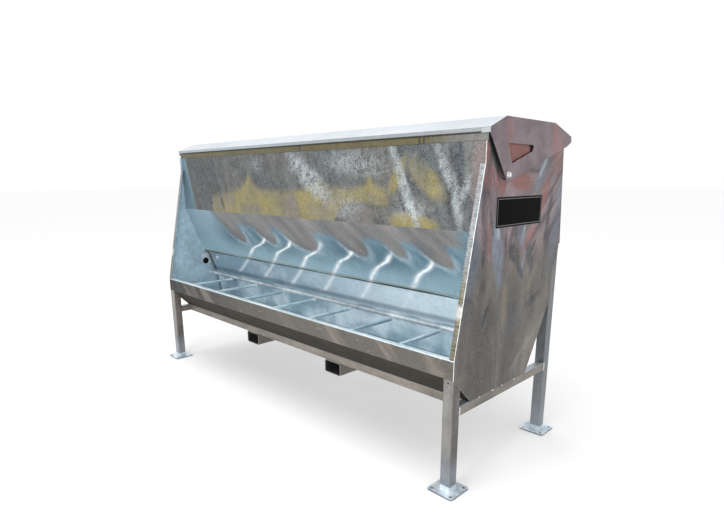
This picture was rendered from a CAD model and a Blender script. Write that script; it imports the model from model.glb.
import math
import random

import bmesh
import bpy
from mathutils import Matrix, Vector


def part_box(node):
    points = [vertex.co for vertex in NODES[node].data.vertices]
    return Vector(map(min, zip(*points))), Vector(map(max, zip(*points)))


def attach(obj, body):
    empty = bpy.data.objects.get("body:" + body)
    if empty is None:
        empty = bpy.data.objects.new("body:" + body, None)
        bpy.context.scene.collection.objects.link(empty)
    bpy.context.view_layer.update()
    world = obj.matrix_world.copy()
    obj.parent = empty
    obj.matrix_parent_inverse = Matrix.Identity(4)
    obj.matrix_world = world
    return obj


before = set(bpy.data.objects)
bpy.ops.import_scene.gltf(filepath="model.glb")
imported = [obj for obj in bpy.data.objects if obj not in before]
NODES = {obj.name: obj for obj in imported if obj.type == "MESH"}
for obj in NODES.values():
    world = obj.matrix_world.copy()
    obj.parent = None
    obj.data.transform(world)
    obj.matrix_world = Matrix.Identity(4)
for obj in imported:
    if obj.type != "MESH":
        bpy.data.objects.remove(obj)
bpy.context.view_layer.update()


# ------------------------------------------------------------------- measures
# Places in metres that the paint and the welds need: most are read from the frame.

def low(node):
    return Vector(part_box(node)[0])


def high(node):
    return Vector(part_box(node)[1])


def middle(node):
    return (low(node) + high(node)) / 2


HALF_LENGTH = high("end_plate_right").x
INNER_X = high("trough_sheet").x
RIM_Z = high("trough_sheet").z
THROAT_Z = low("hopper_front_sheet").z
FOLD_Z = 1.055  # the fold across the hopper front
BEND_Z = 0.602  # the bend along the regulator plate


# --------------------------------------------------------------- paint helper

class Paint:
    """A procedural surface. Nearly every method returns an output socket."""

    def __init__(self, name, gloss=0.25):
        self.gloss = gloss
        self.material = bpy.data.materials.new(name)
        self.material.use_nodes = True
        self.tree = self.material.node_tree
        self.shader = self.tree.nodes["Principled BSDF"]
        place = self.tree.nodes.new("ShaderNodeTexCoord")
        self.place = place.outputs["Object"]
        self.x, self.y, self.z = self.split(self.place)
        self.nx, self.ny, self.nz = self.split(place.outputs["Normal"])

    def link(self, value, socket):
        if isinstance(value, bpy.types.NodeSocket):
            self.tree.links.new(value, socket)
        else:
            socket.default_value = value

    def node(self, kind, sockets=(), **settings):
        """New node with settings, and (socket, value or output) pairs joined up."""
        node = self.tree.nodes.new("ShaderNode" + kind)
        for name, value in settings.items():
            setattr(node, name, value)
        for socket, value in sockets:
            self.link(value, node.inputs[socket])
        return node

    def split(self, vector):
        return self.node("SeparateXYZ", [(0, vector)]).outputs

    def join(self, x, y, z=0.0):
        return self.node("CombineXYZ", [(0, x), (1, y), (2, z)]).outputs[0]

    def math(self, operation, *values):
        return self.node("Math", list(enumerate(values)), operation=operation).outputs[0]

    def add(self, first, *others):
        for value in others:
            first = self.math("ADD", first, value)
        return first

    def times(self, first, *others):
        for value in others:
            first = self.math("MULTIPLY", first, value)
        return first

    def most(self, first, *others):
        for value in others:
            first = self.math("MAXIMUM", first, value)
        return first

    def minus(self, first, second):
        return self.math("SUBTRACT", first, second)

    def rest(self, share):
        return self.minus(1.0, share)

    def rise(self, value, start, end, before=0.0, after=1.0):
        """Smooth step. The start may be larger than the end."""
        if start > end:
            start, end, before, after = end, start, after, before
        given = [("Value", value), ("From Min", start), ("From Max", end),
                 ("To Min", before), ("To Max", after)]
        return self.node("MapRange", given, interpolation_type="SMOOTHSTEP").outputs[0]

    def near(self, value, centre, half_width, softness):
        """1 near the centre, falling to 0 beyond the half width."""
        away = self.math("ABSOLUTE", self.minus(value, centre))
        return self.rise(away, half_width + softness, half_width)

    def stretch(self, scale, turn=(0, 0, 0)):
        node = self.node("Mapping", [("Vector", self.place), ("Scale", scale)])
        node.inputs["Rotation"].default_value = [math.radians(angle) for angle in turn]
        return node.outputs[0]

    def noise(self, vector=None, scale=1.0, detail=3.0, roughness=0.5, distortion=0.0):
        given = [("Vector", vector or self.place), ("Scale", scale), ("Detail", detail),
                 ("Roughness", roughness), ("Distortion", distortion)]
        return self.node("TexNoise", given).outputs[0]

    def cells(self, scale):
        return self.node("TexVoronoi", [("Vector", self.place), ("Scale", scale)]).outputs["Color"]

    def flat(self, across, up, wobble, scale):
        """Two-way place on a sheet, slightly warped so that marks get uneven outlines."""
        warp = self.node("TexNoise", [("Scale", scale), ("Detail", 3.0)]).outputs["Color"]
        self.link(self.place, warp.node.inputs["Vector"])
        red, green, _ = self.split(warp)
        across = self.add(across, self.times(self.minus(red, 0.5), 2 * wobble))
        up = self.add(up, self.times(self.minus(green, 0.5), 2 * wobble))
        return self.join(across, up)

    def mark(self, vector, centre, radii, turn, soft=0.35):
        """Soft oval on a flat place: 1 inside, 0 outside."""
        node = self.node("Mapping", [("Vector", vector)], vector_type="TEXTURE")
        node.inputs["Location"].default_value = (*centre, 0)
        node.inputs["Rotation"].default_value = (0, 0, math.radians(turn))
        node.inputs["Scale"].default_value = (*radii, 1)
        away = self.node("VectorMath", [(0, node.outputs[0])], operation="LENGTH").outputs["Value"]
        return self.rise(away, 1 + soft, 1 - soft)

    def marks(self, vector, items, soft=0.35):
        """Strongest of several ovals: (centre, radii, turn, strength) each."""
        masks = [self.times(self.mark(vector, centre, radii, turn, soft), strength)
                 for centre, radii, turn, strength in items]
        return self.most(*masks)

    def mix(self, share, first, second, kind="MIX"):
        node = self.node("Mix", [(0, share)], data_type="RGBA", blend_type=kind)
        self.link(first, node.inputs[6])
        self.link(second, node.inputs[7])
        return node.outputs[2]

    def tone(self, colour, amount):
        """Colour made lighter or darker by a factor."""
        return self.mix(1.0, colour, self.join(amount, amount, amount), "MULTIPLY")

    def blot(self, colour, vector, items, tone, strength=None, soft=0.35):
        """Colour with ovals of another tone laid over it."""
        share = self.marks(vector, items, soft)
        if strength is not None:
            share = self.times(share, strength)
        return self.mix(share, colour, tone)

    def crinkle(self, scale, sharp=8.0):
        """Thin bright curly lines, like frost."""
        grain = self.noise(None, scale, 4.0, 0.65, 1.2)
        away = self.math("ABSOLUTE", self.minus(self.times(grain, 2.0), 1.0))
        return self.math("POWER", self.rest(away), sharp)

    def scratches(self, turn, fine=110.0):
        """Thin broken bright lines lying at one slant on an upright sheet."""
        grain = self.noise(self.stretch((fine, 1.0, fine * 0.09), (0, turn, 0)), 1.0, 3.0, 0.6, 0.3)
        away = self.math("ABSOLUTE", self.minus(self.times(grain, 2.0), 1.0))
        line = self.math("POWER", self.rest(away), 26.0)
        broken = self.noise(None, 26.0, 3.0, 0.7)
        return self.times(line, self.rise(broken, 0.40, 0.62))

    def bump(self, height, strength, distance):
        given = [("Strength", strength), ("Distance", distance), ("Height", height)]
        return self.node("Bump", given).outputs[0]

    def finish(self, colour, roughness, normal, metallic):
        self.link(colour, self.shader.inputs["Base Color"])
        self.link(roughness, self.shader.inputs["Roughness"])
        self.shader.inputs["Metallic"].default_value = metallic
        self.shader.inputs["Specular IOR Level"].default_value = self.gloss
        if normal is not None:
            self.link(normal, self.shader.inputs["Normal"])
        return self.material


def shade(red, green, blue):
    """Linear colour from screen values of 0 to 255."""
    def linear(value):
        value = value / 255
        return value / 12.92 if value <= 0.04045 else ((value + 0.055) / 1.055) ** 2.4
    return (linear(red), linear(green), linear(blue), 1.0)


PALE_BLUE = shade(156, 184, 196)
DEEP_BLUE = shade(72, 102, 117)
ICE = shade(226, 238, 244)
WHITE = shade(246, 250, 252)
OCHRE = shade(132, 118, 44)
DULL_OCHRE = shade(104, 96, 62)
GREY = shade(82, 84, 82)
DARK_GREY = shade(38, 38, 38)
FROST = shade(186, 194, 198)
RUST_GREY = shade(172, 104, 94)
BLUE_GREY = shade(134, 150, 168)
DARK_BLUE_GREY = shade(48, 54, 66)
NEAR_BLACK = shade(26, 30, 34)


LARGE_CELLS = 42.0
SMALL_CELLS = 2.6 * LARGE_CELLS


def spangle(paint):
    """Brightness of zinc crystals, from two sizes of cell."""
    large = paint.split(paint.cells(LARGE_CELLS))[0]
    small = paint.split(paint.cells(SMALL_CELLS))[1]
    return paint.add(paint.times(large, 0.6), paint.times(small, 0.4))


def zinc(paint, colour, mottle=0.16, rough=0.36, metallic=0.55, frost=0.12, speckle=0.5):
    """Common ending of every galvanised surface: crystals, cloudy patches, speckle, fine frost, ripples."""
    cloud = paint.noise(None, 6.0, 5.0, 0.62)
    speckles = paint.noise(None, 130.0, 4.0, 0.8)
    crystals = spangle(paint)
    amount = paint.add(1.0 - mottle * 1.3 - speckle * 0.5, paint.times(crystals, mottle),
                       paint.times(cloud, mottle * 1.6), paint.times(speckles, speckle))
    colour = paint.tone(colour, amount)
    colour = paint.mix(paint.times(paint.crinkle(70.0), frost), colour, FROST)
    ripple = paint.noise(None, 5.0, 2.0)
    grain = paint.noise(None, 150.0, 2.0)
    height = paint.add(ripple, paint.times(grain, 0.05))
    roughness = paint.add(-0.07, rough, paint.times(crystals, 0.14))
    return paint.finish(colour, roughness, paint.bump(height, 0.3, 0.02), metallic)


# ------------------------------------------------------------------ materials

# Painted reflections and streaks, in metres: places along the sheet from its middle, heights from
# the floor. OCHRE_RISE and FINGER_LEAN are slopes.
OCHRE_LEFT = -0.83
OCHRE_RIGHT = 0.71
OCHRE_TOP = 1.16
OCHRE_RISE = 0.03
OCHRE_PEAKS = [(-0.40, 0.15, 0.05), (0.24, 0.09, 0.06), (0.60, 0.08, 0.03)]
OCHRE_STEP = 0.37
OCHRE_STEP_RUN = 0.09
OCHRE_STEP_FOOT = 1.145
FINGER_LEAN = 0.9
FINGER_START = -0.76
FINGER_ROOT = 0.98
FINGERS = [(-0.65, 0.10, 0.12), (-0.29, 0.09, 0.10), (0.04, 0.15, 0.11), (0.46, 0.10, 0.10),
           (0.75, 0.06, 0.08), (0.98, 0.08, 0.10)]
STREAK_PITCH = 0.277
STREAK_START = 0.591
GATE_STREAK_PITCH = 0.302
GATE_STREAK_START = 0.845
PHASE_SHIFT = 10.5  # whole streaks, and a half, that keep the phase above 0 and centre a streak in it
MIRROR_LEFT = -1.163  # where the mirror image of the end plate ends, at the lid
MIRROR_TOP = 1.405
MIRROR_SLOPE = 0.31


def ochre_shape(paint, sheet):
    """Band above the fold with pointed peaks, each (place, height, width), and patches at the right."""
    across, up, _ = paint.split(sheet)
    top = paint.add(OCHRE_TOP, paint.times(across, OCHRE_RISE))
    for place, height, width in OCHRE_PEAKS:
        away = paint.math("ABSOLUTE", paint.minus(across, place))
        top = paint.add(top, paint.math("DIVIDE", height * width, paint.add(away, width)))
    foot = paint.rise(across, OCHRE_STEP - OCHRE_STEP_RUN, OCHRE_STEP + OCHRE_STEP_RUN,
                      FOLD_Z - 0.05, OCHRE_STEP_FOOT)
    band = paint.times(paint.rise(paint.minus(up, top), 0.022, -0.030),
                       paint.rise(paint.minus(up, foot), -0.012, 0.012),
                       paint.rise(paint.x, OCHRE_LEFT - 0.004, OCHRE_LEFT + 0.004),
                       paint.rise(across, OCHRE_RIGHT + 0.02, OCHRE_RIGHT - 0.02))
    patches = paint.marks(sheet, [
        ((0.77, 1.27), (0.10, 0.03), 60, 1.0),
        ((0.93, 1.26), (0.12, 0.045), -40, 1.0),
        ((0.86, 1.07), (0.13, 0.045), -4, 1.0),
    ])
    return paint.most(band, patches)


def finger_depth(paint, leaning, up):
    """How far inside the brown: above the fingers' root, or in one, each (place, half width, length)."""
    above_root = paint.minus(up, FINGER_ROOT)
    depth = above_root
    for place, half_width, length in FINGERS:
        aside = paint.times(paint.minus(leaning, place), 1 / half_width)
        along = paint.times(above_root, 1 / length)
        away = paint.node("VectorMath", [(0, paint.join(aside, along))], operation="LENGTH").outputs["Value"]
        depth = paint.most(depth, paint.times(paint.rest(away), length))
    return depth


def streaked_grey(paint):
    """Leaning streaks of two greys, darker at the left end, with a warm cast in places."""
    lean = paint.add(paint.x, paint.times(paint.z, 0.42))
    streaks = paint.noise(paint.join(paint.times(lean, 9.0), paint.times(paint.z, 3.0)), 1.0, 6.0, 0.7, 0.8)
    colour = paint.mix(paint.rise(streaks, 0.36, 0.66), DARK_GREY, GREY)
    colour = paint.mix(paint.rise(paint.x, -0.45, -0.90, 0.0, 0.85), colour, shade(30, 30, 31))
    warm = paint.noise(paint.join(paint.times(lean, 3.0), paint.times(paint.z, 1.5), 3.0), 1.0, 3.0)
    return paint.mix(paint.rise(warm, 0.45, 0.62, 0.0, 0.5), colour, shade(84, 78, 66))


def with_ochre(paint, sheet, colour):
    """Ochre patches with brown clouds in them and a dark slit near their left end."""
    tint = paint.mix(paint.rise(paint.noise(sheet, 5.0, 4.0, 0.62), 0.36, 0.64), DULL_OCHRE, OCHRE)
    tint = paint.blot(tint, sheet, [
        ((0.01, 1.10), (0.06, 0.07), 20, 0.6),
        ((-0.36, 1.08), (0.10, 0.03), 5, 0.35),
        ((0.25, 1.10), (0.12, 0.04), -10, 0.45),
        ((-0.62, 1.12), (0.07, 0.03), 0, 0.4),
    ], shade(108, 98, 90))
    colour = paint.mix(paint.times(ochre_shape(paint, sheet), 0.92), colour, tint)
    return paint.mix(paint.mark(sheet, (-0.708, 1.11), (0.012, 0.05), 32), colour, DARK_GREY)


def with_stains(paint, sheet, colour):
    """Brown clouds between the ochre patches, dark patches above, a rusty strip at the right end."""
    colour = paint.blot(colour, sheet, [
        ((0.52, 1.10), (0.13, 0.05), 0, 0.8),
        ((0.90, 1.16), (0.06, 0.03), 0, 0.6),
    ], shade(92, 84, 78))
    colour = paint.blot(colour, sheet, [
        ((1.09, 1.33), (0.026, 0.085), 6, 0.95),
        ((0.30, 1.35), (0.05, 0.05), -50, 0.5),
        ((0.93, 1.33), (0.05, 0.06), -50, 0.45),
        ((-0.97, 1.22), (0.035, 0.20), 20, 0.85),
    ], shade(34, 39, 46))
    rust = paint.mark(sheet, (1.19, 1.28), (0.035, 0.16), 0, 0.5)
    return paint.mix(paint.times(rust, 0.4), colour, shade(124, 88, 84))


def with_frost(paint, sheet, colour):
    """Pale frost in broad clouds and in slanting strips, drawn with crossing scratches."""
    broad = paint.marks(sheet, [
        ((0.16, 1.27), (0.19, 0.05), -35, 0.95),
        ((0.50, 1.33), (0.20, 0.05), -5, 0.5),
        ((0.45, 1.13), (0.09, 0.06), 0, 0.4),
        ((0.86, 1.13), (0.08, 0.05), 0, 0.45),
        ((-0.30, 1.34), (0.06, 0.04), 0, 0.35),
    ], 0.7)
    strips = paint.marks(sheet, [
        ((0.81, 1.23), (0.21, 0.024), -66, 0.75),
        ((1.02, 1.31), (0.12, 0.022), -62, 0.6),
        ((1.09, 1.16), (0.10, 0.02), -80, 0.6),
        ((1.12, 1.21), (0.065, 0.016), 67, 0.6),
    ], 0.5)
    ragged = paint.rise(paint.noise(None, 14.0, 5.0, 0.8), 0.40, 0.62)
    colour = paint.mix(paint.times(strips, 0.6), colour, shade(112, 118, 118))
    colour = paint.mix(paint.times(broad, ragged, 0.5), colour, shade(116, 122, 126))
    lines = paint.most(paint.crinkle(48.0, 22.0), paint.scratches(38), paint.scratches(-52, 90.0),
                       paint.times(paint.scratches(70, 140.0), 0.7))
    frost = paint.times(paint.add(0.22, broad, strips), paint.add(paint.times(ragged, 0.12), lines))
    return paint.mix(frost, colour, FROST)


def hopper_upper(paint, sheet):
    """Streaked grey, ochre patches above the fold, frost, and the end plate's reflection at the left."""
    colour = streaked_grey(paint)
    colour = with_ochre(paint, sheet, colour)
    colour = with_stains(paint, sheet, colour)
    colour = with_frost(paint, sheet, colour)
    mirror_edge = paint.add(MIRROR_LEFT, paint.times(paint.minus(MIRROR_TOP, paint.z), MIRROR_SLOPE))
    mirror = paint.rise(paint.minus(paint.x, mirror_edge), 0.006, -0.006)
    return paint.mix(paint.times(mirror, 0.9), colour, shade(98, 124, 136))


def streak_phase(paint, place, start, pitch):
    """Place within one repeat of the bright streaks, 0 to 1 with the streak in the middle."""
    return paint.math("FRACT", paint.times(paint.add(place, start + PHASE_SHIFT * pitch), 1 / pitch))


def hopper_lower(paint, sheet):
    """Blue, with brown fingers hanging from the fold and bright bent streaks at an even pitch."""
    across, up, _ = paint.split(sheet)
    leaning = paint.add(across, paint.times(paint.minus(up, 0.92), FINGER_LEAN))
    depth = finger_depth(paint, leaning, up)
    inside = paint.times(paint.rise(leaning, FINGER_START - 0.01, FINGER_START + 0.02),
                         paint.rise(paint.x, 1.16, 1.04))
    brown = paint.times(paint.rise(depth, -0.012, 0.014), inside)
    outline = paint.times(paint.rise(depth, -0.042, -0.004), paint.rest(brown), inside,
                          paint.rise(up, 0.98, 0.90, 0.1, 0.8))
    slant = paint.noise(paint.join(paint.times(paint.add(paint.x, paint.times(paint.z, 1.1)), 4.5),
                                   paint.times(paint.z, 2.0)), 1.0, 4.0, 0.6)
    tint = paint.mix(paint.rise(slant, 0.38, 0.66), shade(90, 90, 92), shade(124, 121, 118))
    blue = paint.mix(paint.rise(paint.z, THROAT_Z + 0.01, 0.90), PALE_BLUE, DEEP_BLUE)
    blue = paint.mix(paint.rise(slant, 0.45, 0.75, 0.0, 0.5), blue, PALE_BLUE)
    blue = paint.mix(paint.rise(paint.x, -0.70, -1.0, 0.0, 0.7), blue, shade(150, 174, 186))
    colour = paint.mix(brown, blue, tint)
    wavy = paint.rise(paint.noise(None, 22.0, 4.0, 0.7), 0.34, 0.62, 0.35, 1.0)
    colour = paint.mix(paint.times(outline, wavy, 0.55), colour, shade(190, 208, 216))
    return paint.mix(bent_streaks(paint, across, brown), colour, WHITE)


def bent_streaks(paint, across, brown):
    """Brightness of the bent streaks, which fade out before the brown."""
    bend = paint.add(paint.rise(paint.z, 0.82, 0.885, 0.0, 0.07),
                     paint.times(paint.minus(paint.z, 0.78), 1.05))
    bend = paint.times(bend, paint.minus(1.07, paint.times(paint.x, 0.43)))
    phase = streak_phase(paint, paint.minus(across, bend), STREAK_START, STREAK_PITCH)
    glow = paint.add(paint.near(phase, 0.5, 0.012, 0.06), paint.near(phase, 0.5, 0.0, 0.15))
    uneven = paint.rise(paint.noise(None, 20.0, 4.0, 0.7), 0.30, 0.56, 0.6, 1.15)
    return paint.times(glow, 0.42, uneven, paint.rise(paint.z, 0.945, 0.88), paint.rest(brown),
                       paint.rise(paint.x, -0.66, -0.58), paint.rise(paint.x, 1.0, 0.93))


def hopper_front_paint():
    paint = Paint("hopper_front_zinc")
    sheet = paint.flat(paint.x, paint.z, 0.012, 14.0)
    upper = hopper_upper(paint, sheet)
    lower = hopper_lower(paint, sheet)
    colour = paint.mix(paint.rise(paint.z, FOLD_Z - 0.002, FOLD_Z + 0.002), lower, upper)
    edge = paint.near(paint.z, THROAT_Z + 0.014, 0.003, 0.003)
    colour = paint.mix(paint.times(edge, 0.6), colour, shade(150, 146, 112))
    thick = paint.rise(paint.noise(paint.stretch((2.2, 0.0, 0.0)), 1.0, 2.0), 0.35, 0.60, 0.004, 0.010)
    gap = paint.rise(paint.minus(paint.z, THROAT_Z), 0.0, 0.0015)
    gap = paint.times(gap, paint.rise(paint.minus(paint.minus(paint.z, THROAT_Z), thick), 0.001, -0.001))
    colour = paint.mix(paint.times(gap, 0.92), colour, NEAR_BLACK)
    return zinc(paint, colour, 0.12)


def regulator_paint():
    """Pale blue with slanting bright streaks and a soft dark band at the bend."""
    paint = Paint("regulator_zinc")
    slope = paint.minus(1.3, paint.times(paint.x, 0.6))
    start = paint.minus(paint.x, paint.times(paint.minus(paint.z, 0.63), slope))
    phase = streak_phase(paint, start, GATE_STREAK_START, GATE_STREAK_PITCH)
    glow = paint.add(paint.near(phase, 0.5, 0.015, 0.05), paint.near(phase, 0.5, 0.0, 0.15))
    glow = paint.times(glow, 0.42, paint.rise(paint.z, 0.612, 0.635), paint.rise(paint.x, 0.85, 0.6),
                       paint.rise(paint.x, -0.98, -0.90))
    base = paint.mix(paint.rise(paint.x, -0.5, 1.0), shade(148, 172, 186), shade(226, 240, 246))
    cloud = paint.noise(paint.stretch((3.0, 4.0, 5.0)), 1.0, 4.0, 0.6)
    base = paint.mix(paint.rise(cloud, 0.5, 0.72, 0.0, 0.5), base, ICE)
    colour = paint.mix(glow, base, WHITE)
    band = paint.near(paint.z, BEND_Z + 0.012, 0.004, 0.022)
    colour = paint.mix(paint.times(band, 0.5), colour, DEEP_BLUE)
    foot = paint.mix(paint.rise(paint.noise(paint.stretch((4.5, 1.0, 5.0)), 1.0, 3.0), 0.4, 0.66),
                     shade(150, 174, 186), shade(224, 236, 242))
    colour = paint.mix(paint.rise(paint.z, BEND_Z - 0.004, BEND_Z - 0.012), colour, foot)
    plate_end = high("regulator_plate").x
    reach = paint.rise(paint.z, BEND_Z - 0.01, BEND_Z + 0.01, 0.008, 0.026)
    end = paint.rise(paint.add(paint.math("ABSOLUTE", paint.x), reach), plate_end - 0.002, plate_end + 0.002)
    colour = paint.mix(paint.times(end, 0.9), colour, NEAR_BLACK)
    return zinc(paint, colour, 0.16)


def trough_paint():
    """Taupe front, dark brown underside, pale blue inside, bright along the rim's fold."""
    paint = Paint("trough_zinc")
    front = paint.mix(paint.rise(paint.x, -1.22, 0.2), shade(18, 18, 19), shade(88, 84, 77))
    bands = paint.noise(paint.join(paint.times(paint.add(paint.x, paint.z), 5.0), paint.z), 1.0, 4.0, 0.6)
    front = paint.mix(paint.rise(bands, 0.50, 0.66, 0.0, 0.7), front, shade(122, 115, 107))
    front = paint.mix(paint.rise(bands, 0.44, 0.32, 0.0, 0.6), front, shade(54, 50, 47))
    scuffs = paint.rise(paint.noise(paint.stretch((22.0, 1.0, 60.0), (0, 25, 0)), 1.0, 4.0, 0.7), 0.62, 0.72)
    front = paint.mix(paint.times(scuffs, 0.4), front, shade(186, 184, 180))
    front = paint.mix(paint.rise(paint.z, RIM_Z - 0.006, RIM_Z - 0.003), front, shade(176, 180, 180))
    under = paint.mix(paint.noise(None, 4.0, 4.0), shade(32, 27, 20), shade(60, 53, 43))
    cloud = paint.noise(paint.stretch((3.0, 6.0, 6.0)), 1.0, 4.0, 0.6)
    inside = paint.mix(paint.rise(cloud, 0.36, 0.66), shade(200, 222, 232), shade(248, 253, 255))
    colour = paint.mix(paint.rise(paint.ny, -0.8, -0.9), inside, front)
    downward = paint.rise(paint.nz, -0.3, -0.5)
    colour = paint.mix(downward, colour, under)
    return zinc(paint, colour, 0.16, paint.add(0.38, paint.times(downward, 0.5)), frost=0.06)


def swept_place(paint):
    """Place from front to rear, shifted so that streaks drawn along it lean back above 1 m."""
    up = paint.math("MAXIMUM", paint.minus(paint.z, 1.0), 0.0)
    return paint.minus(paint.y, paint.times(up, 1.1, paint.rise(paint.y, -0.15, 0.25)))


def plate_tints(paint, sheet, tall, colour):
    """Red, blue and pale tints, broken up by streaks."""
    split = paint.rise(paint.noise(tall, 2.2, 4.0, 0.6), 0.34, 0.58)
    colour = paint.blot(colour, sheet, [
        ((-0.03, 1.35), (0.13, 0.06), 0, 1.0),
        ((0.00, 1.26), (0.10, 0.045), -15, 0.9),
        ((0.21, 1.17), (0.03, 0.10), -27, 1.0),
        ((0.12, 1.03), (0.022, 0.09), -41, 0.7),
        ((-0.20, 1.03), (0.020, 0.07), 0, 0.6),
        ((-0.13, 1.23), (0.03, 0.05), 0, 0.8),
        ((-0.28, 1.33), (0.05, 0.09), -8, 0.75),
        ((-0.20, 1.26), (0.06, 0.05), 0, 0.6),
        ((0.33, 1.33), (0.04, 0.07), 0, 0.6),
    ], RUST_GREY, split)
    broken = paint.rise(paint.noise(tall, 1.6, 5.0, 0.7), 0.38, 0.60, 0.35, 1.0)
    colour = paint.blot(colour, sheet, [
        ((-0.33, 0.95), (0.068, 0.14), 0, 0.9),
        ((-0.14, 0.96), (0.036, 0.14), 14, 0.95),
        ((0.18, 1.27), (0.024, 0.10), -35, 0.95),
        ((0.04, 1.03), (0.03, 0.06), 10, 0.7),
        ((0.07, 0.91), (0.009, 0.06), -17, 1.0),
        ((0.36, 1.05), (0.04, 0.22), -9, 0.7),
        ((-0.29, 1.16), (0.016, 0.11), -14, 0.5),
    ], BLUE_GREY, broken)
    return paint.blot(colour, sheet, [
        ((0.20, 1.31), (0.010, 0.06), -35, 0.9),
        ((-0.15, 1.05), (0.014, 0.03), 16, 0.5),
        ((0.05, 1.02), (0.008, 0.05), -20, 0.6),
        ((-0.30, 1.22), (0.008, 0.09), -20, 0.5),
    ], shade(196, 208, 218), split)


def plate_stains(paint, sheet, colour):
    """Dark, violet and warm stains, and a slanting shine near the foot."""
    rough_edge = paint.rise(paint.noise(None, 34.0, 5.0, 0.75), 0.36, 0.56, 0.35, 1.0)
    colour = paint.blot(colour, sheet, [
        ((-0.01, 0.95), (0.028, 0.055), 45, 0.9),
        ((0.04, 0.89), (0.016, 0.055), 40, 0.8),
        ((-0.24, 0.95), (0.012, 0.035), 0, 0.8),
        ((-0.20, 0.72), (0.012, 0.05), -27, 0.9),
        ((-0.23, 0.84), (0.02, 0.025), 30, 0.6),
        ((0.19, 0.72), (0.085, 0.020), 21, 0.75),
        ((0.28, 1.09), (0.020, 0.11), -11, 0.8),
        ((0.14, 0.95), (0.012, 0.06), -35, 0.8),
        ((-0.08, 0.99), (0.010, 0.05), 10, 0.7),
        ((-0.33, 0.80), (0.04, 0.012), -30, 0.5),
        ((-0.19, 1.08), (0.010, 0.05), 12, 0.6),
        ((0.12, 0.93), (0.026, 0.06), 30, 0.8),
    ], DARK_BLUE_GREY, rough_edge)
    colour = paint.blot(colour, sheet, [
        ((0.02, 0.66), (0.07, 0.07), 10, 0.5),
        ((-0.33, 0.76), (0.05, 0.06), 0, 0.4),
    ], shade(104, 100, 110))
    colour = paint.blot(colour, sheet, [
        ((-0.28, 0.83), (0.020, 0.07), 0, 0.5),
        ((-0.06, 0.74), (0.026, 0.10), 7, 0.6),
        ((0.17, 0.83), (0.022, 0.08), -35, 0.5),
    ], shade(156, 142, 122))
    shine = paint.mark(sheet, (0.15, 0.515), (0.16, 0.012), 35, 0.8)
    return paint.mix(paint.times(shine, 0.4), colour, shade(176, 170, 164))


def end_plate_outside(paint):
    """Taupe foot, red-grey top with leaning streaks, tints and stains, a shadow beside the lid cheek."""
    swept = swept_place(paint)
    sheet = paint.flat(paint.y, paint.z, 0.022, 7.0)
    ground = paint.noise(paint.stretch((1, 5, 2), (-25, 0, 0)), 1.0, 4.0, 0.6)
    colour = paint.mix(paint.rise(ground, 0.35, 0.68), shade(110, 104, 98), shade(146, 136, 124))
    tall = paint.join(paint.times(swept, 15.0), paint.times(paint.z, 2.2))
    streaks = paint.noise(tall, 1.0, 5.0, 0.62, 0.4)
    veil = paint.mix(paint.rise(streaks, 0.36, 0.64), shade(92, 80, 86), shade(166, 146, 148))
    colour = paint.mix(paint.rise(paint.split(sheet)[1], 0.84, 1.02), colour, veil)
    colour = plate_tints(paint, sheet, tall, colour)
    colour = plate_stains(paint, sheet, colour)
    broad = paint.join(paint.times(swept, 6.0), paint.times(paint.z, 1.4), 5.0)
    sheen = paint.noise(broad, 1.0, 6.0, 0.68, 0.6)
    colour = paint.tone(colour, paint.rise(sheen, 0.34, 0.66, 0.36, 0.74))
    shadow = paint.mark(paint.join(paint.y, paint.z), (-0.200, 1.345), (0.104, 0.015), -63, 0.3)
    return paint.mix(paint.times(shadow, 0.9), colour, shade(26, 36, 40))


def end_plate_paint():
    paint = Paint("end_plate_zinc")
    outward = paint.times(paint.nx, paint.math("SIGN", paint.x))
    inside = paint.mix(paint.noise(None, 3.0, 4.0), shade(164, 188, 201), shade(204, 222, 232))
    colour = paint.mix(paint.rise(outward, 0.4, 0.6), inside, end_plate_outside(paint))
    ripples = paint.noise(paint.join(paint.times(paint.x, 30.0), paint.times(paint.z, 150.0)), 1.0, 3.0, 0.7)
    flange = paint.mix(paint.rise(ripples, 0.36, 0.60), shade(104, 106, 106), shade(146, 149, 150))
    low_part = paint.mix(paint.rise(ripples, 0.40, 0.60), shade(78, 70, 50), shade(118, 110, 82))
    flange = paint.mix(paint.rise(paint.z, 0.98, 0.80, 0.0, 0.9), flange, low_part)
    bright = paint.near(paint.z, 0.76, 0.01, 0.03)
    flange = paint.mix(paint.times(bright, 0.4), flange, WHITE)
    rim_line = paint.rise(paint.math("ABSOLUTE", paint.x), HALF_LENGTH - 0.004, HALF_LENGTH - 0.002)
    flange = paint.mix(rim_line, flange, shade(210, 214, 216))
    colour = paint.mix(paint.rise(paint.ny, -0.8, -0.9), colour, flange)
    return zinc(paint, colour, 0.30, speckle=0.7)


def cheek_paint():
    """Mauve grey with warm patches; edges bright above, dark below and grey in front."""
    paint = Paint("cheek_zinc")
    sheet = paint.flat(paint.y, paint.z, 0.02, 12.0)
    cloud = paint.noise(None, 9.0, 5.0, 0.65)
    colour = paint.mix(paint.rise(cloud, 0.35, 0.66), shade(106, 93, 99), shade(130, 114, 118))
    colour = paint.blot(colour, sheet, [
        ((0.26, 1.44), (0.014, 0.09), -6, 0.5),
        ((-0.12, 1.43), (0.03, 0.06), 0, 0.25),
        ((0.30, 1.40), (0.05, 0.05), 0, 0.3),
    ], RUST_GREY, soft=0.6)
    edge = paint.rise(paint.math("ABSOLUTE", paint.nx), 0.6, 0.4)
    rim = paint.mix(paint.rise(paint.nz, 0.02, -0.08), WHITE, shade(42, 52, 56))
    rim = paint.mix(paint.rise(paint.ny, -0.94, -0.98), rim, shade(150, 156, 158))
    return zinc(paint, paint.mix(edge, colour, rim), 0.10, 0.42)


LIP_FOOT_Z = 1.430


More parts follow.
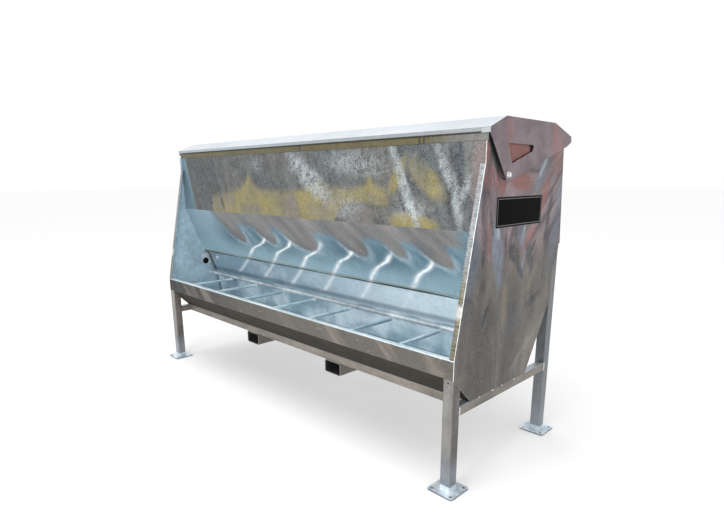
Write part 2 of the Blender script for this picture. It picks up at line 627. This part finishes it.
def lid_paint():
    """Near white above, grey lip with faint marks, pale grey beneath."""
    paint = Paint("lid_zinc")
    top = paint.mix(paint.noise(None, 3.0, 5.0), shade(180, 188, 194), shade(218, 224, 229))
    lip = paint.mix(paint.rise(paint.x, -0.9, 0.6), shade(150, 160, 166), shade(136, 141, 144))
    spots = paint.rise(paint.noise(paint.stretch((14.0, 1.0, 60.0)), 1.0, 3.0), 0.62, 0.72)
    lip = paint.mix(paint.times(spots, 0.6), lip, shade(120, 122, 122))
    lip = paint.mix(paint.rise(paint.z, LIP_FOOT_Z + 0.0015, LIP_FOOT_Z - 0.0010), lip, shade(38, 37, 30))
    under = paint.mix(paint.noise(None, 3.0, 3.0), shade(128, 132, 134), shade(168, 172, 174))
    colour = paint.mix(paint.rise(paint.ny, -0.8, -0.9), top, lip)
    colour = paint.mix(paint.rise(paint.nz, -0.3, -0.5), colour, under)
    return zinc(paint, colour, 0.04, 0.4, 0.3, 0.05)


BAR_JOINT_X = 0.10
BAR_MARKS_X = (0.892, 0.916)
BAR_FOOT_Z = 1.400


def top_bar_paint():
    """Olive bar, paler at the right, darker along its foot, with a dark joint and two dark marks."""
    paint = Paint("top_bar_zinc")
    cloud = paint.noise(paint.stretch((3.0, 1.0, 20.0)), 1.0, 5.0, 0.6)
    colour = paint.mix(cloud, shade(70, 63, 36), shade(104, 95, 60))
    colour = paint.mix(paint.rise(paint.x, 0.9, 1.1), colour, shade(104, 102, 98))
    dark = paint.most(paint.near(paint.x, BAR_JOINT_X, 0.006, 0.004),
                      *[paint.near(paint.x, place, 0.003, 0.003) for place in BAR_MARKS_X])
    colour = paint.mix(paint.times(dark, 0.8), colour, NEAR_BLACK)
    foot = paint.rise(paint.z, BAR_FOOT_Z + 0.001, BAR_FOOT_Z - 0.001, 0.0, 0.5)
    colour = paint.mix(foot, colour, shade(60, 58, 50))
    return zinc(paint, colour, 0.14)


def rear_paint():
    """Hopper's back: soft grey-blue with long upright streaks."""
    paint = Paint("rear_zinc")
    streaks = paint.noise(paint.stretch((8.0, 1.0, 1.1)), 1.0, 5.0, 0.6, 0.3)
    colour = paint.mix(paint.rise(streaks, 0.36, 0.68), shade(108, 112, 116), shade(164, 172, 178))
    patches = paint.noise(paint.stretch((2.0, 1.0, 1.4), (0, 20, 0)), 1.0, 4.0, 0.6)
    colour = paint.mix(paint.rise(patches, 0.52, 0.68, 0.0, 0.7), colour, shade(140, 130, 116))
    return zinc(paint, colour, 0.16, frost=0.3)


def mottled(name, dark, light, scale):
    """Plain galvanised steel between two tones."""
    paint = Paint(name)
    cloud = paint.noise(None, scale, 5.0, 0.62)
    return zinc(paint, paint.mix(paint.rise(cloud, 0.34, 0.66), dark, light), 0.14, 0.38)


def leg_paint():
    """Grey front, browner sides, blue and bright near the foot where the zinc pooled."""
    paint = Paint("leg_zinc")
    runs = paint.noise(paint.stretch((16.0, 16.0, 3.5)), 1.0, 4.0, 0.6, 0.4)
    front = paint.mix(paint.rise(runs, 0.35, 0.66), shade(102, 100, 98), shade(134, 131, 127))
    side = paint.mix(paint.rise(runs, 0.35, 0.66), shade(84, 80, 78), shade(118, 110, 105))
    colour = paint.mix(paint.rise(paint.math("ABSOLUTE", paint.nx), 0.5, 0.8), front, side)
    rear = paint.rise(paint.y, 0.0, 0.1)
    colour = paint.mix(paint.times(rear, 0.6), colour, shade(118, 124, 130))
    colour = paint.mix(paint.rise(paint.z, 0.20, 0.06, 0.0, 0.45), colour, shade(150, 162, 174))
    colour = paint.mix(paint.rise(paint.z, 0.032, 0.022), colour, shade(206, 220, 230))
    return zinc(paint, colour, 0.14, 0.4)


def foot_paint():
    """Pale blue-white top, darker cut edges."""
    paint = Paint("foot_zinc")
    cloud = paint.noise(None, 14.0, 4.0, 0.6)
    colour = paint.mix(paint.rise(cloud, 0.36, 0.64), shade(176, 194, 210), shade(236, 244, 250))
    colour = paint.mix(paint.rise(paint.nz, 0.6, 0.3), colour, shade(96, 108, 120))
    return zinc(paint, colour, 0.10, 0.4)


def rail_paint():
    """Taupe, mottled along its length."""
    paint = Paint("rail_zinc")
    cloud = paint.noise(paint.stretch((4.0, 4.0, 9.0)), 1.0, 5.0, 0.62)
    colour = paint.mix(paint.rise(cloud, 0.35, 0.66), shade(100, 94, 87), shade(130, 122, 112))
    colour = paint.mix(paint.rise(paint.nz, 0.5, 0.8), colour, shade(176, 182, 186))
    colour = paint.mix(paint.rise(paint.nz, -0.5, -0.8), colour, shade(84, 80, 76))
    return zinc(paint, colour, 0.14, 0.4)


def pocket_paint():
    """Grey outside, nearly black inside."""
    paint = Paint("pocket_zinc")
    cloud = paint.noise(None, 8.0, 4.0)
    colour = paint.mix(cloud, shade(84, 82, 80), shade(130, 122, 112))
    centre = middle("fork_pocket_right")
    half = (high("fork_pocket_right") - low("fork_pocket_right")) / 2
    across = paint.math("ABSOLUTE", paint.minus(paint.math("ABSOLUTE", paint.x), centre.x))
    up = paint.math("ABSOLUTE", paint.minus(paint.z, centre.z))
    within = paint.times(paint.rise(across, half.x - 0.0035, half.x - 0.0045),
                         paint.rise(up, half.z - 0.0035, half.z - 0.0045))
    deep = paint.times(within, paint.rise(paint.math("ABSOLUTE", paint.ny), 0.5, 0.3))
    return zinc(paint, paint.mix(paint.times(deep, 0.92), colour, NEAR_BLACK), 0.16, 0.45)


def bracket_paint():
    """Bright side faces and dark edges, nearly black further in than the end plates."""
    paint = Paint("bracket_zinc")
    colour = paint.mix(paint.noise(None, 30.0, 4.0), shade(206, 218, 226), shade(244, 249, 252))
    colour = paint.mix(paint.rise(paint.math("ABSOLUTE", paint.nx), 0.7, 0.5), colour, shade(58, 68, 76))
    inward = paint.rise(paint.math("ABSOLUTE", paint.x), INNER_X - 0.0035, INNER_X - 0.0045)
    return zinc(paint, paint.mix(paint.times(inward, 0.93), colour, NEAR_BLACK), 0.14, 0.4)


def weld_paint():
    paint = Paint("weld_zinc")
    colour = paint.mix(paint.noise(None, 90.0, 3.0), shade(170, 178, 184), shade(240, 244, 246))
    return zinc(paint, colour, 0.10, 0.42)


def black_paint(name, tone, rough):
    paint = Paint(name, 0.03)
    lighter = shade(*[value + 8 for value in tone])
    colour = paint.mix(paint.noise(None, 60.0, 4.0), shade(*tone), lighter)
    roughness = paint.add(rough, paint.times(paint.noise(None, 30.0), 0.15))
    return paint.finish(colour, roughness, paint.bump(paint.noise(None, 400.0), 0.1, 0.001), 0.0)


def border_paint():
    paint = Paint("sign_border_paint")
    colour = paint.mix(paint.noise(None, 80.0, 3.0), shade(88, 88, 90), shade(112, 112, 112))
    roughness = paint.add(0.35, paint.times(paint.noise(None, 40.0), 0.1))
    return paint.finish(colour, roughness, None, 0.0)


def put(material, *names):
    """Give CAD nodes a material, in every slot."""
    for name in names:
        mesh = NODES[name].data
        if not mesh.materials:
            mesh.materials.append(material)
        for slot in range(len(mesh.materials)):
            mesh.materials[slot] = material


def starting(*prefixes):
    return [name for name in NODES if name.startswith(prefixes)]


put(hopper_front_paint(), "hopper_front_sheet")
put(top_bar_paint(), "hopper_top_bar")
put(regulator_paint(), "regulator_plate")
put(trough_paint(), "trough_sheet")
put(end_plate_paint(), "end_plate_left", "end_plate_right")
put(cheek_paint(), "lid_cheek_left", "lid_cheek_right")
put(lid_paint(), "lid_sheet")
put(rear_paint(), "rear_wall_sheet", "back_slope_sheet")
put(leg_paint(), *starting("leg_"))
put(rail_paint(), *starting("side_rail", "long_rail"))
put(pocket_paint(), *starting("fork_pocket"))
put(foot_paint(), *starting("foot_plate"))
put(mottled("bar_zinc", shade(132, 144, 152), shade(206, 212, 216), 3.0), "rear_bar")
put(mottled("divider_zinc", shade(150, 174, 186), shade(226, 238, 244), 4.0), *starting("bay_divider"))
put(bracket_paint(), *starting("regulator_bracket"))
put(mottled("fastener_zinc", shade(186, 188, 190), shade(240, 242, 242), 40.0), *starting("clamp_", "pivot_"))
put(black_paint("plug_rubber", (18, 19, 21), 0.6), "bracket_plugs")
put(black_paint("sign_face", (5, 4, 6), 0.5), "sign_plate")
WELD = weld_paint()


# ---------------------------------------------------------------------- welds

def new_piece(name, mesh, material, smooth=True):
    item = bpy.data.objects.new(name, mesh)
    bpy.context.scene.collection.objects.link(item)
    mesh.materials.append(material)
    for face in mesh.polygons:
        face.use_smooth = smooth
    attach(item, "frame")


BEAD_SIDES = 8
FEWEST_STEPS = 4
RING_SPACING = 0.9  # of the bead's radius
END_SIZE = 0.25  # of the bead's radius
SWELL = 0.16  # every other ring is thicker, the rest thinner, by this share


def bead(shape, start, end, radius, rng):
    """One weld run: a rounded tube whose thickness swells and shrinks, with closed rounded ends."""
    start, end = Vector(start), Vector(end)
    along = (end - start).normalized()
    side = along.orthogonal().normalized()
    other = along.cross(side)
    steps = max(FEWEST_STEPS, int((end - start).length / (radius * RING_SPACING)))
    rings = []
    for step in range(steps + 1):
        share = step / steps
        rounding = math.sqrt(max(0.0, 1 - (2 * share - 1) ** 6))
        size = radius * (END_SIZE + (1 - END_SIZE) * rounding) * (1 + SWELL * (-1) ** step)
        size = size * rng.uniform(0.9, 1.1)
        centre = start.lerp(end, share)
        turns = [2 * math.pi * count / BEAD_SIDES for count in range(BEAD_SIDES)]
        rings.append([shape.verts.new(centre + size * (math.cos(turn) * side + math.sin(turn) * other))
                      for turn in turns])
    for first, second in zip(rings, rings[1:]):
        for count in range(BEAD_SIDES):
            following = (count + 1) % BEAD_SIDES
            shape.faces.new((first[count], first[following], second[following], second[count]))
    shape.faces.new(list(reversed(rings[0])))
    shape.faces.new(rings[-1])


def welds(name, runs, radius, seed):
    """Several weld runs as one piece. Each run is a (start, end) pair."""
    rng = random.Random(seed)
    shape = bmesh.new()
    for start, end in runs:
        bead(shape, start, end, radius, rng)
    bmesh.ops.recalc_face_normals(shape, faces=shape.faces)
    mesh = bpy.data.meshes.new(name)
    shape.to_mesh(mesh)
    shape.free()
    new_piece(name, mesh, WELD)


def around_box(corner, opposite, level):
    """Four runs round an upright tube at one height."""
    (left, front), (right, back) = corner, opposite
    spots = [(left, front, level), (right, front, level), (right, back, level), (left, back, level)]
    return list(zip(spots, spots[1:] + spots[:1]))


def foot_welds():
    for node in starting("leg_"):
        lowest, highest = low(node), high(node)
        runs = around_box((lowest.x, lowest.y), (highest.x, highest.y), lowest.z + 0.001)
        welds(node + "_foot_weld", runs, radius=0.005, seed=node)


def divider_welds():
    runs = []
    for node in starting("bay_divider"):
        centre, lowest, highest = middle(node), low(node), high(node)
        for reach in (-0.011, 0.011):
            across, front = centre.x + reach, lowest.y + 0.001
            runs.append(((across, front, RIM_Z - 0.016), (across, front, RIM_Z)))
            runs.append(((across, highest.y - 0.007, highest.z - 0.018),
                         (centre.x + reach * 0.4, highest.y - 0.003, highest.z + 0.001)))
    welds("divider_welds", runs, radius=0.0035, seed="dividers")


BAR_WELD_TURN = 60  # degrees of each run round the rear bar's ends


def end_welds():
    """Where the side rails meet the legs and the rear bar meets the end plates."""
    runs = []
    rail = high("side_rail_right")
    for side in (-1, 1):
        for node in ("leg_front_right", "leg_rear_right"):
            face = high(node).y if "front" in node else low(node).y
            for across in (low("side_rail_right").x, rail.x):
                runs.append(((side * across, face, low("side_rail_right").z), (side * across, face, rail.z)))
        bar = middle("rear_bar")
        size = (high("rear_bar").z - low("rear_bar").z) / 2
        for turn in range(0, 360, BAR_WELD_TURN):
            angles = (math.radians(turn), math.radians(turn + BAR_WELD_TURN))
            runs.append([(side * (INNER_X - 0.001), bar.y + size * math.cos(angle),
                          bar.z + size * math.sin(angle)) for angle in angles])
    welds("end_welds", runs, radius=0.003, seed="ends")


def pocket_welds():
    runs = []
    for node in starting("fork_pocket"):
        lowest, highest = low(node), high(node)
        for rail in ("long_rail_front", "long_rail_rear"):
            for across in (lowest.x + 0.012, highest.x - 0.05):
                for face in (low(rail).y, high(rail).y):
                    if lowest.y + 0.002 < face < highest.y - 0.002:
                        runs.append(((across, face, highest.z), (across + 0.038, face, highest.z)))
    welds("pocket_welds", runs, radius=0.0035, seed="pockets")


STITCHES = 4
STITCH_START = -0.24
STITCH_PITCH = 0.10


def plate_welds():
    """Stitches where the end plates stand on the side rails."""
    runs = []
    rng = random.Random("stitches")
    rail = high("side_rail_right")
    face = HALF_LENGTH + 0.0005
    for side in (-1, 1):
        for count in range(STITCHES):
            start = STITCH_START + STITCH_PITCH * count + rng.uniform(-0.02, 0.02)
            end = start + rng.uniform(0.012, 0.032)
            runs.append(((side * face, start, rail.z), (side * face, end, rail.z)))
    welds("plate_welds", runs, radius=0.0022, seed="plates")


def sign_border():
    """Thin raised border round the blank sign."""
    lowest, highest = low("sign_plate"), high("sign_plate")
    inset, width, lift = 0.006, 0.003, 0.0006
    shape = bmesh.new()
    loops = []
    for level in (highest.x, highest.x + lift):
        for step in (inset, inset + width):
            loops.append([shape.verts.new((level, y, z)) for y, z in (
                (lowest.y + step, lowest.z + step), (highest.y - step, lowest.z + step),
                (highest.y - step, highest.z - step), (lowest.y + step, highest.z - step))])
    outer_low, inner_low, outer_top, inner_top = loops
    around = (outer_low, outer_top, inner_top, inner_low)
    for first, second in zip(around, around[1:] + around[:1]):
        for count in range(4):
            following = (count + 1) % 4
            shape.faces.new((first[count], first[following], second[following], second[count]))
    bmesh.ops.recalc_face_normals(shape, faces=shape.faces)
    mesh = bpy.data.meshes.new("sign_border")
    shape.to_mesh(mesh)
    shape.free()
    new_piece("sign_border", mesh, border_paint(), smooth=False)


foot_welds()
divider_welds()
end_welds()
pocket_welds()
plate_welds()
sign_border()


# ---------------------------------------------------------------------- stage

FLOOR_REACH = 60.0
FLOOR_TONE = 0.97


def floor():
    mesh = bpy.data.meshes.new("floor")
    corners = [(-FLOOR_REACH, -FLOOR_REACH, 0), (FLOOR_REACH, -FLOOR_REACH, 0),
               (FLOOR_REACH, FLOOR_REACH, 0), (-FLOOR_REACH, FLOOR_REACH, 0)]
    mesh.from_pydata(corners, [], [(0, 1, 2, 3)])
    item = bpy.data.objects.new("floor", mesh)
    bpy.context.scene.collection.objects.link(item)
    material = bpy.data.materials.new("floor")
    material.use_nodes = True
    shader = material.node_tree.nodes["Principled BSDF"]
    shader.inputs["Base Color"].default_value = (FLOOR_TONE, FLOOR_TONE, FLOOR_TONE, 1)
    shader.inputs["Roughness"].default_value = 1.0
    mesh.materials.append(material)


def area_light(name, place, target, size, power):
    data = bpy.data.lights.new(name, "AREA")
    data.shape = "RECTANGLE"
    data.size, data.size_y = size
    data.energy = power
    item = bpy.data.objects.new(name, data)
    item.location = place
    item.rotation_euler = (Vector(target) - Vector(place)).to_track_quat("-Z", "Y").to_euler()
    bpy.context.scene.collection.objects.link(item)


def studio():
    world = bpy.data.worlds.new("studio")
    world.use_nodes = True
    background = world.node_tree.nodes["Background"]
    background.inputs["Color"].default_value = (1.0, 1.0, 1.0, 1)
    background.inputs["Strength"].default_value = 1.0
    bpy.context.scene.world = world
    bpy.context.scene.view_settings.view_transform = "Standard"
    area_light("key", place=(-2.5, -5.5, 4.5), target=(-0.2, 0, 0.7), size=(4.0, 3.0), power=60)
    area_light("top", place=(0.5, -1.0, 6.0), target=(0, 0, 0), size=(5.0, 4.0), power=75)
    area_light("fill", place=(0.8, -3.0, 1.4), target=(-0.7, -0.1, 0.7), size=(1.6, 1.2), power=45)


# Angles in degrees, lens and sensor in millimetres.
CAMERA_PLACE = (2.311, -1.9915, 1.2665)
CAMERA_TURN = 45.22
CAMERA_DOWN = 13.66
CAMERA_ROLL = 0.20
CAMERA_LENS = 25.86
CAMERA_SENSOR = 36.0
CAMERA_SHIFT = 0.056


def camera():
    """Camera in front of the right end, a little below the lid's height."""
    turn, down, roll = (math.radians(angle) for angle in (CAMERA_TURN, CAMERA_DOWN, CAMERA_ROLL))
    data = bpy.data.cameras.new("camera")
    data.sensor_width = CAMERA_SENSOR
    data.lens = CAMERA_LENS
    data.shift_y = CAMERA_SHIFT
    item = bpy.data.objects.new("camera", data)
    item.matrix_world = (Matrix.Translation(CAMERA_PLACE) @ Matrix.Rotation(turn, 4, "Z")
                         @ Matrix.Rotation(math.pi / 2 - down, 4, "X") @ Matrix.Rotation(-roll, 4, "Z"))
    bpy.context.scene.collection.objects.link(item)
    bpy.context.scene.camera = item


floor()
studio()
camera()
